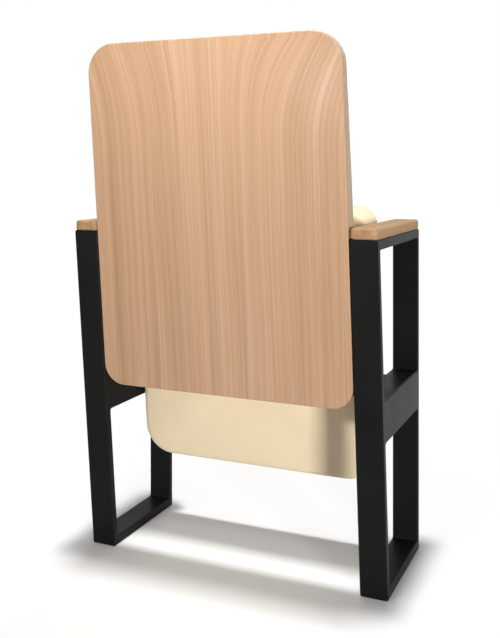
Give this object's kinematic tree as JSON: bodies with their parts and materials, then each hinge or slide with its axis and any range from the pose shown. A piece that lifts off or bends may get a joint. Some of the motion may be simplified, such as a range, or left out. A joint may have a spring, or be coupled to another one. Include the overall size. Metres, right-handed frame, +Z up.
{
  "type": "tip-up auditorium seat",
  "caption": "Tip-up auditorium seat with loop-shaped black steel side frames, oak armrests, an oak-veneered back panel, an upholstered back pad and a spring-returned upholstered seat.",
  "frame": {"origin": "on the floor under the middle of the whole object's bounding box, seat tipped up", "axes": "+Z is up, -Y is the way the sitter faces, +X is to the sitter's left; every piece on one side of the plane X = 0 has its mirrored twin on the other"},
  "size_m": [0.6, 0.3352, 0.978],
  "materials": {
    "black_powder_coat": "satin black powder coat",
    "oak_veneer": "clear matt lacquer, straight grain",
    "oak_solid": "clear satin lacquer",
    "plywood": "raw sanded plywood",
    "cream_cloth": "woven upholstery cloth over foam",
    "zinc_steel": "zinc-plated",
    "spring_steel": "oiled spring wire",
    "nylon": "moulded natural nylon",
    "rubber": "moulded black rubber"
  },
  "bodies": {
    "stand": {"side_frame_right": "black_powder_coat", "side_frame_left": "black_powder_coat", "stop_bracket_right": "black_powder_coat", "stop_bracket_left": "black_powder_coat", "back_panel": "oak_veneer", "armrest_right": "oak_solid", "armrest_left": "oak_solid", "back_board": "plywood", "back_pad": "cream_cloth", "pivot_pin_right": "zinc_steel", "pivot_pin_left": "zinc_steel", "bracket_screw_1_right": "zinc_steel", "bracket_screw_1_left": "zinc_steel", "bracket_screw_2_right": "zinc_steel", "bracket_screw_2_left": "zinc_steel", "armrest_screw_front_right": "zinc_steel", "armrest_screw_front_left": "zinc_steel", "armrest_screw_rear_right": "zinc_steel", "armrest_screw_rear_left": "zinc_steel", "back_screw_lower_right": "zinc_steel", "back_screw_lower_left": "zinc_steel", "back_screw_upper_right": "zinc_steel", "back_screw_upper_left": "zinc_steel", "return_spring_right": "spring_steel", "return_spring_left": "spring_steel", "back_clip_lower_right": "nylon", "back_clip_lower_left": "nylon", "back_clip_upper_right": "nylon", "back_clip_upper_left": "nylon", "lower_stop_buffer_right": "rubber", "lower_stop_buffer_left": "rubber", "upper_stop_buffer_right": "rubber", "upper_stop_buffer_left": "rubber"},
    "seat": {"seat_cushion": "cream_cloth", "seat_board": "plywood", "seat_panel": "oak_veneer", "seat_hinge_right": "black_powder_coat", "seat_hinge_left": "black_powder_coat", "pivot_bush_outer_right": "nylon", "pivot_bush_outer_left": "nylon", "pivot_bush_inner_right": "nylon", "pivot_bush_inner_left": "nylon", "hinge_screw_rear_right": "zinc_steel", "hinge_screw_rear_left": "zinc_steel", "hinge_screw_middle_right": "zinc_steel", "hinge_screw_middle_left": "zinc_steel", "hinge_screw_front_right": "zinc_steel", "hinge_screw_front_left": "zinc_steel"}
  },
  "joints": [
    {"name": "seat_tip", "type": "hinge", "parent": "stand", "child": "seat", "pos_m": [0, -0.13765, 0.313], "axis": [1, 0, 0], "range_deg": [0, 91], "stiffness_Nm_per_rad": 2.4, "springref_deg": -57.3, "deforming": ["return_spring_right", "return_spring_left"]}
  ]
}
